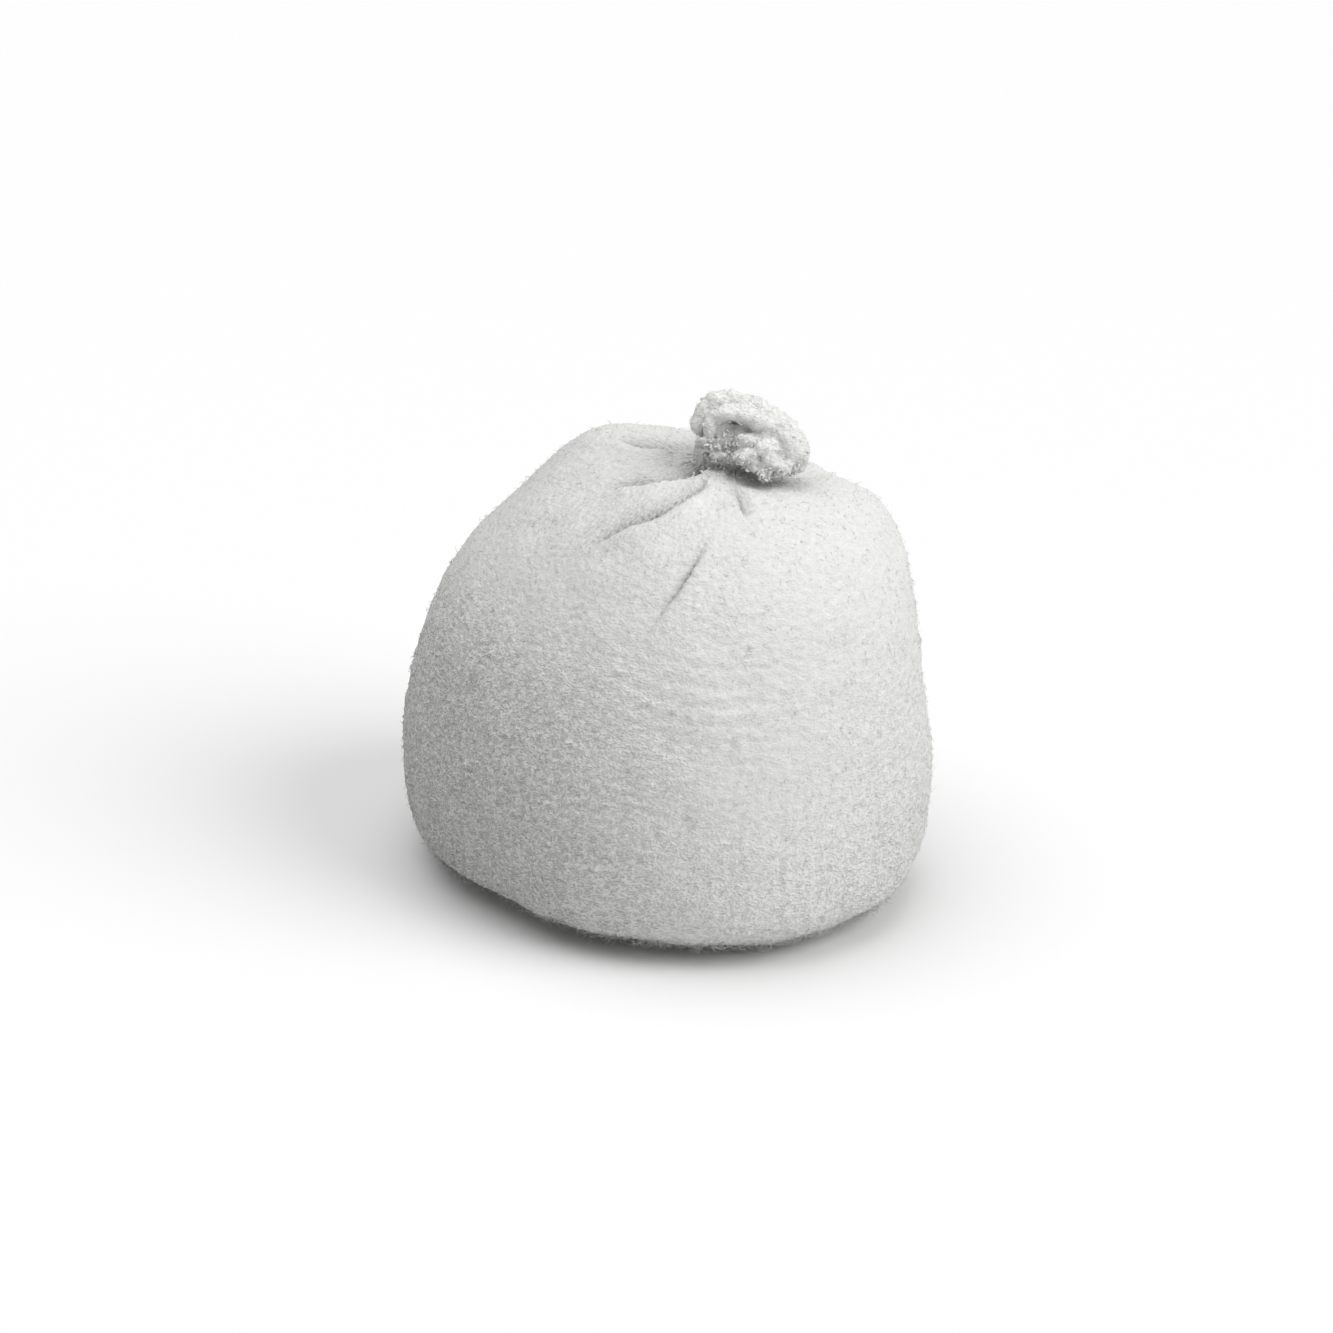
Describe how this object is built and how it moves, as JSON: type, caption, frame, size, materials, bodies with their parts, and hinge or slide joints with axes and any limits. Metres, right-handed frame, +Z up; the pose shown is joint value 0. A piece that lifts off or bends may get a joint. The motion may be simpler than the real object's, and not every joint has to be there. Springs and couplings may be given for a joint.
{
  "type": "herbal compress ball",
  "caption": "Soft white terry-knit ball with a flat foot, gathered at the crown and closed by a small leaning knot in its own tail, filled with a lined bag of dried herbs.",
  "frame": {"origin": "on the table under the middle of the ball, on the flat foot it rests on", "axes": "+Z up, the front faces -Y, +X to the right of a person who looks at the front; the knot stands right of the middle and lies over to the front right"},
  "size_m": [0.0704, 0.0692, 0.0698],
  "materials": {
    "terry_cloth": "matte",
    "sewing_thread": "matte",
    "muslin": "matte",
    "cotton_string": "matte",
    "ground_herbs": "matte",
    "lemongrass": "matte",
    "dried_root": "matte",
    "citrus_peel": "matte",
    "camphor": "satin"
  },
  "bodies": {
    "pouch": {"outer_cover": "terry_cloth", "seam_thread": "sewing_thread", "inner_bag": "muslin", "bag_tie": "cotton_string", "herb_powder": "ground_herbs", "lemongrass_stems": "lemongrass", "root_slices": "dried_root", "peel_strips": "citrus_peel", "camphor_crystals": "camphor"},
    "neck": {"neck_gather": "terry_cloth"},
    "knot": {"knot_band": "terry_cloth", "tail_strand": "terry_cloth", "tail_ruffle": "terry_cloth"}
  },
  "joints": [
    {"name": "neck_twist", "type": "hinge", "parent": "pouch", "child": "neck", "pos_m": [0.0076, 0, 0.05933], "axis": [0, 0, 1], "range_deg": [-30, 30]},
    {"name": "knot_lean", "type": "hinge", "parent": "neck", "child": "knot", "pos_m": [0.0076, 0, 0.05933], "axis": [-0.7071, -0.7071, 0], "range_deg": [0, 75]}
  ]
}
